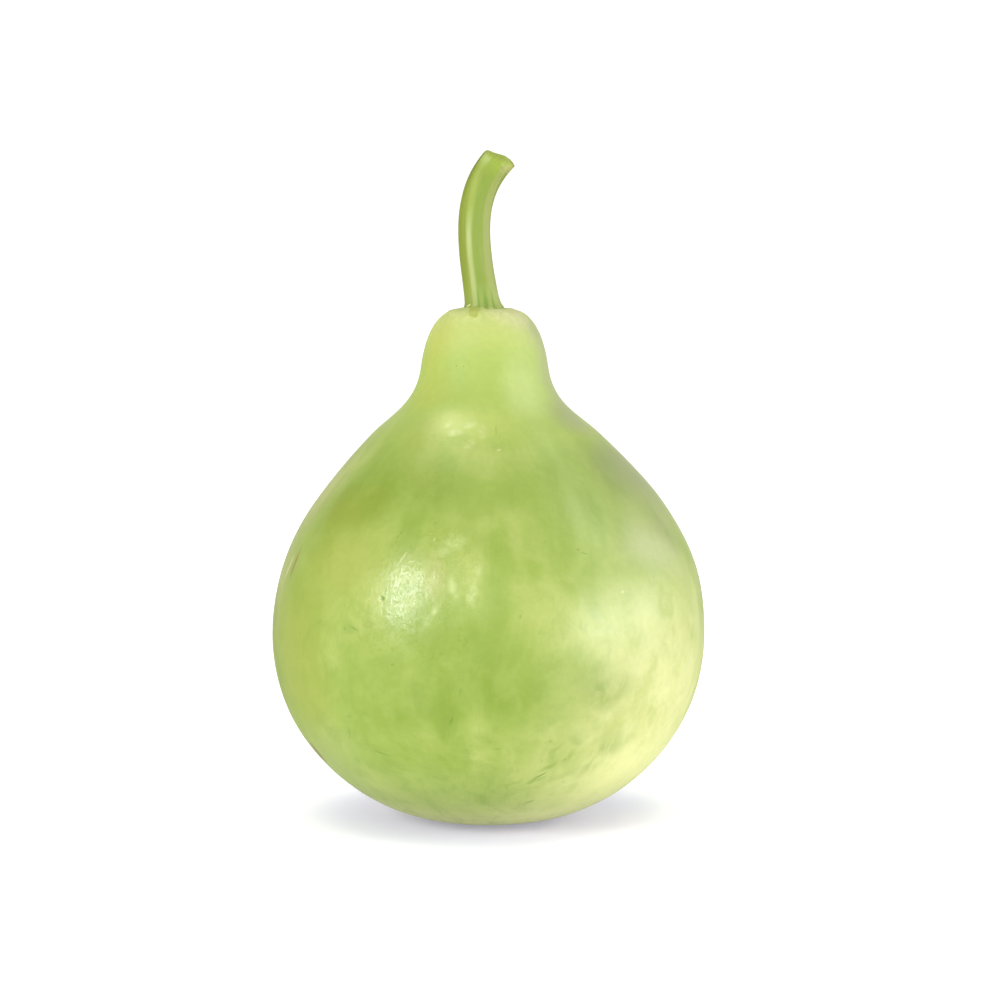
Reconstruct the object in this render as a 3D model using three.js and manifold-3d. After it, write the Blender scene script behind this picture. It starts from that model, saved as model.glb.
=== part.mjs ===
// Bottle gourd: a round green fruit that narrows to a short neck, and the ribbed stalk it hung from.
// Millimetres, +Z up, -Y is the front. The fruit stands upright on the flat spot round its blossom scar.

import * as THREE from 'three';
import { mergeVertices } from 'three/addons/utils/BufferGeometryUtils.js';
import Module from 'manifold-3d';

const wasm = await Module();
wasm.setup();

// ------------------------------------------------------------------ driving dimensions, in mm

const FRUIT_HEIGHT = 181;
const BELLY_RADIUS = 76.5;
const BELLY_HEIGHT = 65.5;
const SHOULDER_RADIUS = 40;
const SHOULDER_HEIGHT = 136.5;
const NECK_RADIUS = 22.6;
const NECK_HEIGHT = 159.4;
const CROWN_EDGE_RADIUS = 14;
const CROWN_EDGE_HEIGHT = 178.5;
const FLAT_SPOT_RADIUS = 13;
const SCAR_RADIUS = 4.5;
const SCAR_DEPTH = 1.1;

const STALK_ROOT = new THREE.Vector3(-1.9, 0, 176);
const STALK_LOWER_HANDLE = new THREE.Vector3(-3, 0, 196);
const STALK_UPPER_HANDLE = new THREE.Vector3(-11.7, 0.6, 220);
const STALK_END = new THREE.Vector3(7.5, -3.6, 235.7);
const STALK_RADIUS = 5.9;
const RIB_COUNT = 5;
const RIB_DEPTH = 0.65;
const CUT_CENTRE = new THREE.Vector3(4.2, -3, 232.4);
const SOCKET_GAP = 0.3;

// ------------------------------------------------------------------ the fruit

// The outline runs from the flat spot up to the middle of the crown, as knots joined by Bezier spans.
// heading: the way the outline travels there, in degrees from straight outwards, 90 being straight up.
// back, ahead: lengths of the handles behind and in front of the knot.
// rings: facet rings in the span that leads to the knot.
const FRUIT_OUTLINE = [
  { radius: FLAT_SPOT_RADIUS, height: 0, heading: 0, back: 0, ahead: 29, rings: 1 },
  { radius: BELLY_RADIUS, height: BELLY_HEIGHT, heading: 90, back: 40, ahead: 31, rings: 15 },
  { radius: SHOULDER_RADIUS, height: SHOULDER_HEIGHT, heading: 136, back: 31, ahead: 9.3, rings: 13 },
  { radius: NECK_RADIUS, height: NECK_HEIGHT, heading: 98, back: 13, ahead: 10, rings: 6 },
  { radius: CROWN_EDGE_RADIUS, height: CROWN_EDGE_HEIGHT, heading: 145, back: 5.6, ahead: 2.6, rings: 7 },
  { radius: 0, height: FRUIT_HEIGHT, heading: 180, back: 4.2, ahead: 0, rings: 4 },
];
const SCAR_RINGS = 3;
const FRUIT_SEGMENTS = 72;

// The fruit isn't quite round: shallow lobes, as shares of the radius, fade out at the spot and the crown.
const LOBES = [
  { count: 2, share: 0.006 },
  { count: 3, share: 0.004 },
  { count: 5, share: 0.0015 },
];
const LOBES_START = 2;
const LOBES_FULL_FROM = 40;
const LOBES_FULL_TO = 150;
const LOBES_END = 176;

// The fruit leans: its shoulder stands a little to the right of the belly's middle, its neck to the left.
const SHOULDER_SHIFT = 0.5;
const SHOULDER_SHIFT_FROM = 60;
const SHOULDER_SHIFT_TO = 100;
const NECK_SHIFT = -1.4;
const NECK_SHIFT_FROM = 112;
const NECK_SHIFT_TO = 150;

function smoothStep(from, to, value) {
  const t = THREE.MathUtils.clamp((value - from) / (to - from), 0, 1);
  return t * t * (3 - 2 * t);
}

function handlePoint(knot, length) {
  const heading = THREE.MathUtils.degToRad(knot.heading);
  return new THREE.Vector2(
    knot.radius + length * Math.cos(heading),
    knot.height + length * Math.sin(heading),
  );
}

function outlineSpan(from, to) {
  return new THREE.CubicBezierCurve(
    handlePoint(from, 0),
    handlePoint(from, from.ahead),
    handlePoint(to, -to.back),
    handlePoint(to, 0),
  );
}

function fruitProfile() {
  const points = [];
  for (let ring = 0; ring <= SCAR_RINGS; ring += 1) {
    const share = ring / SCAR_RINGS;
    points.push(new THREE.Vector2(SCAR_RADIUS * share, SCAR_DEPTH * (1 - share * share)));
  }
  points.push(new THREE.Vector2(FLAT_SPOT_RADIUS, 0));
  for (let index = 1; index < FRUIT_OUTLINE.length; index += 1) {
    const knot = FRUIT_OUTLINE[index];
    const span = outlineSpan(FRUIT_OUTLINE[index - 1], knot);
    points.push(...span.getPoints(knot.rings).slice(1));
  }
  return points;
}

function lobeFactor(angle, height) {
  const strength = smoothStep(LOBES_START, LOBES_FULL_FROM, height)
    * (1 - smoothStep(LOBES_FULL_TO, LOBES_END, height));
  let factor = 1;
  for (const lobe of LOBES) {
    factor += lobe.share * strength * Math.sin(lobe.count * angle);
  }
  return factor;
}

function leanShift(height) {
  const shoulder = SHOULDER_SHIFT * smoothStep(SHOULDER_SHIFT_FROM, SHOULDER_SHIFT_TO, height);
  const neck = (NECK_SHIFT - SHOULDER_SHIFT) * smoothStep(NECK_SHIFT_FROM, NECK_SHIFT_TO, height);
  return shoulder + neck;
}

function fruitGeometry() {
  const geometry = new THREE.LatheGeometry(fruitProfile(), FRUIT_SEGMENTS);
  geometry.rotateX(Math.PI / 2);
  const place = geometry.attributes.position;
  for (let index = 0; index < place.count; index += 1) {
    const height = place.getZ(index);
    const factor = lobeFactor(Math.atan2(place.getY(index), place.getX(index)), height);
    place.setX(index, place.getX(index) * factor + leanShift(height));
    place.setY(index, place.getY(index) * factor);
  }
  return geometry;
}

// ------------------------------------------------------------------ the stalk

const STALK_STEPS = 32;
const STALK_SECTION_POINTS = 40;
const SOCKET_STEPS = 6;
const SOCKET_TOP = 0.22;

// One rib faces the front, a little to the left. Crests are narrow and the hollows between them broad.
const FRONT_RIB_ANGLE = THREE.MathUtils.degToRad(-112);
const RIB_NARROWNESS = 0.7;

// The foot spreads where it meets the crown, and the root below it narrows.
const FOOT_SPREAD = 1.2;
const FOOT_REACH = 2.4;
const ROOT_TAPER = 0.25;

// The knife's cut faces up, to the right and slightly to the front.
const CUT_TO_RIGHT = THREE.MathUtils.degToRad(30);
const CUT_TO_FRONT = THREE.MathUtils.degToRad(15);
const KNIFE_BLOCK = 40;

const stalkPath = new THREE.CubicBezierCurve3(
  STALK_ROOT,
  STALK_LOWER_HANDLE,
  STALK_UPPER_HANDLE,
  STALK_END,
);
const ALONG_Y = new THREE.Vector3(0, 1, 0);

function ribbedSection() {
  const points = [];
  for (let index = 0; index < STALK_SECTION_POINTS; index += 1) {
    const angle = (index / STALK_SECTION_POINTS) * 2 * Math.PI;
    const hollow = Math.abs(Math.sin((RIB_COUNT * (angle - FRONT_RIB_ANGLE)) / 2)) ** (2 * RIB_NARROWNESS);
    const radius = 1 - (RIB_DEPTH / STALK_RADIUS) * hollow;
    points.push(new THREE.Vector2(radius * Math.cos(angle), radius * Math.sin(angle)));
  }
  return new THREE.Shape(points);
}

function stalkRadius(height) {
  const aboveCrown = height - FRUIT_HEIGHT;
  const spread = FOOT_SPREAD * Math.exp(-Math.max(aboveCrown, 0) / FOOT_REACH);
  const taper = ROOT_TAPER * Math.min(aboveCrown, 0);
  return STALK_RADIUS + spread + taper;
}

// A straight ribbed bar is bent onto the stalk's path: its length becomes the share along the path.
function stalkGeometry(from, to, steps, clearance) {
  const bar = new THREE.ExtrudeGeometry(ribbedSection(), { depth: 1, steps, bevelEnabled: false });
  const place = bar.attributes.position;
  for (let index = 0; index < place.count; index += 1) {
    const along = THREE.MathUtils.lerp(from, to, place.getZ(index));
    const centre = stalkPath.getPoint(along);
    const tangent = stalkPath.getTangent(THREE.MathUtils.clamp(along, 0, 1));
    const right = new THREE.Vector3().crossVectors(ALONG_Y, tangent).normalize();
    const back = new THREE.Vector3().crossVectors(tangent, right);
    const radius = stalkRadius(centre.z) + clearance;
    centre.addScaledVector(right, radius * place.getX(index));
    centre.addScaledVector(back, radius * place.getY(index));
    place.setXYZ(index, centre.x, centre.y, centre.z);
  }
  return bar;
}

// The block of air that the knife takes away above the cut.
function aboveCutGeometry() {
  const block = new THREE.BoxGeometry(KNIFE_BLOCK, KNIFE_BLOCK, KNIFE_BLOCK);
  block.translate(0, 0, KNIFE_BLOCK / 2);
  block.rotateX(CUT_TO_FRONT);
  block.rotateY(CUT_TO_RIGHT);
  block.translate(CUT_CENTRE.x, CUT_CENTRE.y, CUT_CENTRE.z);
  return block;
}

// ------------------------------------------------------------------ solids and booleans

const MERGE_TOLERANCE = 1e-4;

function toSolid(geometry) {
  const bare = new THREE.BufferGeometry();
  bare.setAttribute('position', geometry.attributes.position);
  bare.setIndex(geometry.index);
  const merged = mergeVertices(bare, MERGE_TOLERANCE);
  return new wasm.Manifold(new wasm.Mesh({
    numProp: 3,
    vertProperties: new Float32Array(merged.attributes.position.array),
    triVerts: new Uint32Array(merged.index.array),
  }));
}

function toGeometry(solid) {
  const mesh = solid.getMesh();
  const geometry = new THREE.BufferGeometry();
  geometry.setAttribute('position', new THREE.BufferAttribute(mesh.vertProperties, 3));
  geometry.setIndex(new THREE.BufferAttribute(mesh.triVerts, 1));
  geometry.computeVertexNormals();
  return geometry;
}

// The stalk's root sits in a socket in the crown, with a hair of clearance all round.
function gourdSolid() {
  const socket = stalkGeometry(-SOCKET_GAP / stalkPath.getLength(), SOCKET_TOP, SOCKET_STEPS, SOCKET_GAP);
  return toSolid(fruitGeometry()).subtract(toSolid(socket));
}

function stalkSolid() {
  return toSolid(stalkGeometry(0, 1, STALK_STEPS, 0)).subtract(toSolid(aboveCutGeometry()));
}

function namedMesh(name, solid, colour, roughness) {
  const material = new THREE.MeshStandardMaterial({ color: colour, roughness, metalness: 0 });
  const mesh = new THREE.Mesh(toGeometry(solid), material);
  mesh.name = name;
  return mesh;
}

const bottleGourd = new THREE.Group();
bottleGourd.add(namedMesh('gourd', gourdSolid(), 0xa9c25c, 0.4));
bottleGourd.add(namedMesh('stalk', stalkSolid(), 0xa0b45a, 0.5));

export default bottleGourd;
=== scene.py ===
"""A round bottle gourd on its blossom end, with the bent ribbed stalk it was cut with.

Lengths are millimetres times MM, in the frame of the CAD model: +Z up, -Y the front.
"""
import functools
import math

import bpy
import numpy as np
from mathutils import Matrix, Vector, noise


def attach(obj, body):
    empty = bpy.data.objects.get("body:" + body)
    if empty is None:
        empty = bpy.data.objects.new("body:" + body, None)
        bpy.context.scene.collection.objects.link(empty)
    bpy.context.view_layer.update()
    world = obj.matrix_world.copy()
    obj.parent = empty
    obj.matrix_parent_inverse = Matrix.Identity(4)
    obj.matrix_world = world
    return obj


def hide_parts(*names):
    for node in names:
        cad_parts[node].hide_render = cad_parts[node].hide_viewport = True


MM = 0.001

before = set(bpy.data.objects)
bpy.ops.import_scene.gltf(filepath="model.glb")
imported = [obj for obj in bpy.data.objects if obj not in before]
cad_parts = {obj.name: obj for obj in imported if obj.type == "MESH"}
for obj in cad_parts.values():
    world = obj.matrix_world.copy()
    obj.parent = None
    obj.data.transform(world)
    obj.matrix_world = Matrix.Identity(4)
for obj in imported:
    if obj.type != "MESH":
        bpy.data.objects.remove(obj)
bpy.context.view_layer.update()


# -------- camera

VIEW_DISTANCE = 1050 * MM
VIEW_HEIGHT = 195 * MM
AIM_RIGHT = 4 * MM
AIM_HEIGHT = 112.6 * MM
LENS = 107.6
SENSOR_WIDTH = 36


def make_camera():
    data = bpy.data.cameras.new("camera")
    data.lens = LENS
    data.sensor_width = SENSOR_WIDTH
    camera = bpy.data.objects.new("camera", data)
    camera.location = (AIM_RIGHT, -VIEW_DISTANCE, VIEW_HEIGHT)
    gaze = Vector((AIM_RIGHT, 0, AIM_HEIGHT)) - camera.location
    camera.rotation_euler = gaze.to_track_quat("-Z", "Y").to_euler()
    bpy.context.scene.collection.objects.link(camera)
    bpy.context.scene.camera = camera


# -------- helpers for shapes

def smooth_step(start, end, value):
    t = np.clip((value - start) / (end - start), 0, 1)
    return t * t * (3 - 2 * t)


def bell(centre, width, value):
    return np.exp(-(((value - centre) / width) ** 2))


def unit(vectors):
    return vectors / np.linalg.norm(vectors, axis=-1, keepdims=True)


def around_axis(radius, angle, height):
    """Points round the upright axis. angle is counter-clockwise from +X, seen from above."""
    return np.stack([radius * np.cos(angle), radius * np.sin(angle), height], axis=-1)


def bezier(path, t):
    """Points of a cubic curve at each t from 0 to 1."""
    t = t[..., None]
    return (
        (1 - t) ** 3 * path[0]
        + 3 * t * (1 - t) ** 2 * path[1]
        + 3 * t * t * (1 - t) * path[2]
        + t**3 * path[3]
    )


def perlin(points, size, seed):
    """Smooth noise from -1 to 1 at each point, with lumps about size across. seed shifts the pattern."""
    flat = points.reshape(-1, 3) / size + seed
    return np.array([noise.noise(Vector(p)) for p in flat]).reshape(points.shape[:-1])


TINY = 1e-15


def grid_normals(grid):
    """Outward normals of a grid of points that runs up in rows and counter-clockwise round each row."""
    along = np.gradient(grid, axis=0)
    around = np.roll(grid, -1, axis=1) - np.roll(grid, 1, axis=1)
    return unit(np.cross(around, along) + TINY)


def closed_mesh(name, grid, attributes):
    """A closed mesh from rings of points, each end closed by a point at its middle.

    attributes holds one value per grid point, read by the material under its name.
    """
    rings, segments = grid.shape[:2]
    ends = np.stack([grid[0].mean(axis=0), grid[-1].mean(axis=0)])
    points = np.concatenate([grid.reshape(-1, 3), ends])
    this = np.arange(segments)
    following = (this + 1) % segments
    first_end = rings * segments
    faces = []
    for ring in range(rings - 1):
        low = ring * segments
        high = low + segments
        faces += np.stack([low + this, low + following, high + following, high + this], axis=1).tolist()
    top = (rings - 1) * segments
    faces += np.stack([following, this, np.full(segments, first_end)], axis=1).tolist()
    faces += np.stack([top + this, top + following, np.full(segments, first_end + 1)], axis=1).tolist()
    mesh = bpy.data.meshes.new(name)
    mesh.from_pydata(points.tolist(), [], faces)
    for key, values in attributes.items():
        closed = np.concatenate([values.ravel(), [values[0].mean(), values[-1].mean()]])
        layer = mesh.attributes.new(key, "FLOAT", "POINT")
        layer.data.foreach_set("value", closed.astype(np.float32))
    mesh.polygons.foreach_set("use_smooth", np.ones(len(mesh.polygons), dtype=bool))
    mesh.update()
    return mesh


def add_piece(name, mesh, material, node):
    piece = bpy.data.objects.new(name, mesh)
    bpy.context.scene.collection.objects.link(piece)
    mesh.materials.append(material)
    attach(piece, "root")
    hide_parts(node)
    return piece


# -------- the fruit's shape

FLAT_SPOT_RADIUS = 13
# Knots of the outline from the flat spot to the crown: radius, height, heading in degrees from straight
# outwards, handle behind, handle ahead, and the rings in the span that leads to the knot.
FRUIT_OUTLINE = (
    (FLAT_SPOT_RADIUS, 0, 0, 0, 29, 0),
    (76.5, 65.5, 90, 40, 31, 84),
    (40, 136.5, 136, 31, 9.3, 70),
    (22.6, 159.4, 98, 13, 10, 24),
    (14, 178.5, 145, 5.6, 2.6, 46),
    (0, 181, 180, 4.2, 0, 36),
)
FRUIT_SEGMENTS = 350
SCAR_RADIUS = 4.5
SCAR_DEPTH = 1.1
SCAR_RINGS = 8
FLAT_RINGS = 6
INNERMOST_RING = 0.02

# Shallow lobes: how many round the fruit, and their height as a share of the radius.
LOBES = ((2, 0.006), (3, 0.004), (5, 0.0015))
LOBES_FADE_IN = (2 * MM, 40 * MM)
LOBES_FADE_OUT = (150 * MM, 176 * MM)
SHOULDER_SHIFT = 0.5 * MM
SHOULDER_SHIFT_SPAN = (60 * MM, 100 * MM)
NECK_SHIFT = -1.4 * MM
NECK_SHIFT_SPAN = (112 * MM, 150 * MM)


def heading(degrees):
    angle = math.radians(degrees)
    return np.array([math.cos(angle), math.sin(angle)])


def fruit_outline():
    """Radius and height of each ring, in metres, from the middle of the blossom scar to the crown."""
    share = np.linspace(INNERMOST_RING, 1, SCAR_RINGS)
    spans = [np.stack([SCAR_RADIUS * share, SCAR_DEPTH * (1 - share**2)], axis=1)]
    flat = np.linspace(SCAR_RADIUS, FLAT_SPOT_RADIUS, FLAT_RINGS + 1)[1:]
    spans.append(np.stack([flat, np.zeros(FLAT_RINGS)], axis=1))
    for knot, following in zip(FRUIT_OUTLINE[:-1], FRUIT_OUTLINE[1:]):
        *start, leave, _, ahead, _ = knot
        *end, arrive, behind, _, rings = following
        path = (
            np.array(start),
            np.array(start) + ahead * heading(leave),
            np.array(end) - behind * heading(arrive),
            np.array(end),
        )
        spans.append(bezier(path, np.linspace(0, 1, rings + 1)[1:]))
    outline = np.concatenate(spans)[:-1]
    return outline * MM


# The distance in mm above and below a point over which the slope of the skin is measured.
SLOPE_STEP = 0.5


def lean(height):
    """How far to the right the fruit's axis has moved at a height."""
    shoulder = SHOULDER_SHIFT * smooth_step(*SHOULDER_SHIFT_SPAN, height)
    neck = (NECK_SHIFT - SHOULDER_SHIFT) * smooth_step(*NECK_SHIFT_SPAN, height)
    return shoulder + neck


def fruit_surface(radius, height, angle):
    """Points of the smooth fruit."""
    strength = smooth_step(*LOBES_FADE_IN, height) * (1 - smooth_step(*LOBES_FADE_OUT, height))
    factor = 1 + strength * sum(share * np.sin(count * angle) for count, share in LOBES)
    points = around_axis(radius * factor, angle, height)
    points[..., 0] += lean(height)
    return points


def on_fruit(azimuth, height):
    """(point, rightward, upward, outward) on the fruit, height in mm.

    azimuth is in degrees to the right of the front.
    """
    outline = fruit_outline()[SCAR_RINGS:]
    angle = math.radians(azimuth - 90)
    heights = np.array([height - SLOPE_STEP, height, height + SLOPE_STEP]) * MM
    radii = np.interp(heights, outline[:, 1], outline[:, 0])
    low, point, high = fruit_surface(radii, heights, angle)
    upward = unit(high - low)
    rightward = np.array([-math.sin(angle), math.cos(angle), 0])
    return point, rightward, upward, unit(np.cross(rightward, upward))


def stroke_axes(azimuth, height, slope):
    """(point, long side, short side, outward) of a long mark, its slope in degrees from level."""
    point, rightward, upward, outward = on_fruit(azimuth, height)
    tilt = math.radians(slope)
    long_side = rightward * math.cos(tilt) + upward * math.sin(tilt)
    return point, long_side, np.cross(outward, long_side), outward


# -------- the fruit's relief

# Depths, sizes and reaches of the relief. The seeds shift each pattern.
RELIEF_FADE_IN = (1.5 * MM, 14 * MM)
UNDULATION = 0.32 * MM
UNDULATION_SIZE = 24 * MM
UNDULATION_SEED = 3.7
RIPPLE = 0.09 * MM
RIPPLE_SIZE = 5 * MM
RIPPLE_SEED = 11.3
RIPPLE_RADIUS = 60 * MM
RIPPLE_CLIMB = 0.25
CHEEK_FLAT = 0.7 * MM
CHEEK_HEIGHT = 112 * MM
CHEEK_REACH = 20 * MM
CHEEK_ANGLE = math.radians(-20)
FRONT_FLAT = 0.8 * MM
FRONT_FLAT_PLACE = (-21, 85)
FRONT_FLAT_REACH = 22 * MM

STALK_FOOT = np.array([-2.4 * MM, 0])
CROWN_FROM = (168 * MM, 174 * MM)
OUTSIDE_FOOT = (5 * MM, 6.5 * MM)
FOLD_WOBBLE = 0.8 * MM
FOLD_WOBBLE_SIZE = 2.6 * MM
FOLD_WOBBLE_SEED = 8.1
FOLD_START = 8
# Distances from a fold's middle, in half widths, at which its body is absent and full, and its pale edge.
FOLD_BODY = (1.25, 0.7)
ROOT_BODY = (1.15, 0.85)
FOLD_RIM = (1.15, 0.2)
CROWN_DIP = 0.35 * MM
CROWN_DIP_REACH = 8 * MM
CROWN_DIP_WIDTH = 2.2 * MM
FLUTE_RUN_OUT = (11 * MM, 8 * MM)
CROWN_FLUTE_DEPTH = 0.3 * MM

# Folds of the crown that run out from the stalk's foot: bearing in degrees counter-clockwise from the
# right, its change for each mm outwards past FOLD_START mm, reach, half width and height in mm, and 1 for
# an olive root of the stalk or 0 for a pale fold of skin.
CROWN_FOLDS = (
    (-108, 1, 15.6, 1.6, 0.55, 1),
    (-74, 0.1, 16.6, 2.5, 0.4, 0),
    (-57, 0.2, 14.8, 1.3, 0.3, 0),
    (-28, 0.3, 13, 2.2, 0.14, 0),
    (8, -0.4, 11.5, 1.8, 0.25, 1),
    (48, 0.2, 14.5, 2.4, 0.35, 0),
    (84, 0.4, 13.5, 1.8, 0.45, 1),
    (122, -0.3, 14.5, 2.4, 0.35, 0),
    (165, -0.4, 12.5, 1.8, 0.35, 1),
    (-150, 0.2, 13, 2, 0.2, 0),
)
# Grooves at the stalk's foot: bearing, half width in degrees, and depth as a share.
FLUTES = (
    (-100, 3.5, 0.9),
    (-75, 7, 1),
    (-52, 4, 0.8),
    (-18, 5, 0.8),
    (24, 6, 1),
    (60, 4, 0.8),
    (100, 6, 1),
    (138, 4, 0.8),
    (176, 4, 0.4),
)


def fruit_relief(points, height, angle):
    """How far the skin stands out from the smooth fruit. It only dips, so the fruit keeps its size."""
    free = smooth_step(*RELIEF_FADE_IN, height)
    broad = perlin(points, UNDULATION_SIZE, UNDULATION_SEED)
    meridian = around_axis(RIPPLE_RADIUS, angle, RIPPLE_CLIMB * height)
    ripple = perlin(meridian, RIPPLE_SIZE, RIPPLE_SEED)
    relief = free * (UNDULATION * (broad - 1) / 2 + RIPPLE * (ripple - 1) / 2)
    at_cheek = bell(CHEEK_HEIGHT, CHEEK_REACH, height) * smooth_step(0.55, 1, np.cos(angle - CHEEK_ANGLE))
    to_front_flat = np.linalg.norm(points - on_fruit(*FRONT_FLAT_PLACE)[0], axis=-1)
    return relief - CHEEK_FLAT * at_cheek - FRONT_FLAT * bell(0, FRONT_FLAT_REACH, to_front_flat)


def from_foot(points):
    """Distance from the middle of the stalk's foot, and bearing in degrees, of each point."""
    across = points[..., :2] - STALK_FOOT
    return np.linalg.norm(across, axis=-1), np.degrees(np.arctan2(across[..., 1], across[..., 0]))


def degrees_apart(first, second):
    return (first - second + 180) % 360 - 180


def flutes(bearing):
    """1 in the middle of each groove at the stalk's foot, 0 between the grooves."""
    return sum(depth * bell(0, width, degrees_apart(bearing, at)) for at, width, depth in FLUTES)


def crown_relief(points, height):
    """Height of the folds round the stalk's foot, with the shares of olive root, fold edge and groove."""
    reach, bearing = from_foot(points)
    wobble = FOLD_WOBBLE * perlin(points, FOLD_WOBBLE_SIZE, FOLD_WOBBLE_SEED)
    on_crown = smooth_step(*CROWN_FROM, height) * smooth_step(*OUTSIDE_FOOT, reach)
    lift = np.zeros(height.shape)
    root = np.zeros(height.shape)
    edge = np.zeros(height.shape)
    for at, drift, end, half_width, rise, is_root in CROWN_FOLDS:
        sideways = np.radians(degrees_apart(bearing, at + drift * (reach / MM - FOLD_START))) * reach + wobble
        half = half_width * MM
        tip = np.sqrt(sideways**2 + np.maximum(reach - end * MM + half + wobble, 0) ** 2)
        lift = np.maximum(lift, rise * MM * smooth_step(*FOLD_BODY, tip / half))
        root = np.maximum(root, is_root * smooth_step(*ROOT_BODY, tip / half))
        far_end = smooth_step((end - 4) * MM, (end - 1) * MM, reach)
        edge = np.maximum(edge, bell(*FOLD_RIM, tip / half) * far_end * (1 - is_root))
    groove = flutes(bearing) * smooth_step(*FLUTE_RUN_OUT, reach) * (1 - root)
    to_right = smooth_step(-0.2, 0.7, np.cos(np.radians(bearing)))
    dip = CROWN_DIP * bell(CROWN_DIP_REACH, CROWN_DIP_WIDTH, reach) * (0.5 + 0.5 * to_right)
    relief = on_crown * (lift - dip - CROWN_FLUTE_DEPTH * groove)
    return relief, on_crown * root, on_crown * edge, on_crown * groove


# -------- the fruit's broad pattern

# Where the skin is lighter (above 0) or deeper (below 0) in broad soft blotches: azimuth in degrees,
# height, half width and half height in mm, and by how much.
BLOTCHES = (
    (4, 60, 20, 22, -0.25),
    (6, 66, 12, 12, -0.12),
    (-10, 45, 8, 8, -0.12),
    (28, 60, 13, 9, -0.15),
    (4, 84, 12, 10, 0.25),
    (-2, 98, 5, 8, 0.3),
    (12, 90, 5, 8, -0.2),
    (-19, 66, 5, 14, -0.25),
    (-31, 43, 6, 7, 0.2),
    (-3, 29, 5, 5, 0.35),
    (-18.5, 44, 4, 5, -0.5),
    (-28, 12, 13, 6, -0.5),
    (2, 18, 9, 5, -0.25),
    (-23.5, 77, 4, 4, -0.35),
    (-28, 90, 3.5, 4, 0.25),
    (-18, 84.5, 3, 5, 0.35),
    (-35, 111, 6, 8, 0.25),
    (-43, 64, 5, 6, 0.15),
    (-28, 63, 6, 5, 0.15),
    (36, 112, 5, 14, -0.22),
    (-34, 121, 24, 12, -0.4),
    (38, 124, 22, 16, -0.28),
    (27, 76, 4, 8, 0.25),
    (35, 72, 4, 8, 0.2),
    (-40, 99, 15, 12, 0.5),
    (-40, 67, 9, 15, 0.4),
    (-31, 84, 8, 12, 0.2),
    (17, 78, 16, 14, 0.35),
    (28, 77, 16, 14, 0.3),
    (10, 33, 22, 12, 0.25),
    (-1, 56, 7, 12, -0.2),
    (-38, 37, 20, 17, -0.12),
    (42, 28, 16, 14, 0.4),
    (6, 116, 22, 12, 0.22),
    (2, 131, 17, 7, 0.3),
    (-17, 134, 7, 5, 0.2),
    (170, 80, 34, 34, -0.3),
    (-120, 60, 24, 20, 0.35),
    (135, 118, 26, 16, -0.3),
)
# Soft green smudges, most of them low down: azimuth, height, half length, half width, slope and strength.
SMUDGES = (
    (-59.4, 77.9, 4, 1.4, 80, 0.8),
    (-48, 75.2, 2.6, 1.2, 30, 0.8),
    (-54, 69, 5, 1.4, 60, 0.7),
    (-37.5, 74.2, 3.2, 2, -20, 0.8),
    (-52.5, 102.1, 3, 2.2, 45, 0.5),
    (-34.7, 100.8, 3, 2, 20, 0.5),
    (-10.2, 44.5, 5, 3.5, 20, 0.5),
    (-14.8, 47.8, 2.4, 1.4, 60, 0.7),
    (28, 17.5, 7, 4, 20, 0.4),
    (-42, 27.9, 3.4, 1.4, 20, 0.5),
    (-29.8, 21.7, 4, 1.4, -10, 0.5),
    (-47, 52, 3.6, 1.4, 75, 0.5),
    (-42.5, 59, 2.6, 1.3, 85, 0.5),
    (-56, 56, 3.6, 1.4, 80, 0.5),
    (-39.4, 44.5, 2, 1, 40, 0.9),
    (-33.6, 46.6, 2.2, 0.9, 0, 0.9),
    (-10.6, 55.6, 3.4, 2.2, 80, 0.5),
    (-27.7, 62.9, 3.4, 1, 85, 0.6),
    (26.5, 59.7, 8, 4.5, 20, 0.35),
    (32, 54, 10, 5.5, 10, 0.85),
    (52, 121, 7, 3, -35, 0.45),
    (66.5, 111, 6, 2, 88, 0.4),
    (69, 103, 5, 2, 88, 0.6),
    (19.7, 33.3, 4.4, 1.1, 60, 0.8),
    (18.2, 28.1, 3.4, 1.2, 40, 0.9),
    (15.3, 22.9, 3.8, 1, 25, 1),
    (9.5, 21.4, 4.6, 1, 5, 0.7),
    (24.5, 31.5, 3.6, 1.1, 80, 0.7),
    (25, 36.6, 3.2, 1.6, 150, 0.6),
    (1, 24.5, 6, 2.4, 0, 0.2),
    (35, 31, 13, 6.5, 40, 0.7),
    (27, 24.5, 8, 3, 15, 0.5),
    (-2, 15.5, 10, 4, 0, 0.6),
    (-12.8, 18.9, 4.6, 2.6, 30, 0.5),
    (-36, 25, 7, 3, -15, 0.5),
    (-50, 38, 7, 3.4, -50, 0.6),
    (-47, 22, 5, 2.4, 10, 0.5),
    (100, 40, 7, 3, 20, 0.5),
    (140, 30, 6, 2.4, -10, 0.5),
    (-100, 32, 8, 3, 10, 0.5),
    (-150, 44, 6, 3, 60, 0.5),
    (172, 28, 6, 2.6, 20, 0.5),
)


# Blotches and strokes are full in the middle and fade out past their half sizes, as a multiple of these.
SOFT_EDGE = (1.5, 0.2)


def warped(points, size, reach, seed):
    """The points, each moved by smooth noise of up to about reach, so that patches get uneven edges."""
    push = np.stack([perlin(points, size, seed + axis) for axis in range(3)], axis=-1)
    return points + reach * push


def lightness(points):
    """How much lighter or deeper than its surroundings the skin is at each point."""
    moved = warped(points, size=20 * MM, reach=6 * MM, seed=40.3)
    total = np.zeros(points.shape[:-1])
    for azimuth, height, across, along, shift in BLOTCHES:
        away = (moved - on_fruit(azimuth, height)[0]) / (np.array([across, across, along]) * MM)
        total += shift * smooth_step(*SOFT_EDGE, np.linalg.norm(away, axis=-1))
    return total


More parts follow.
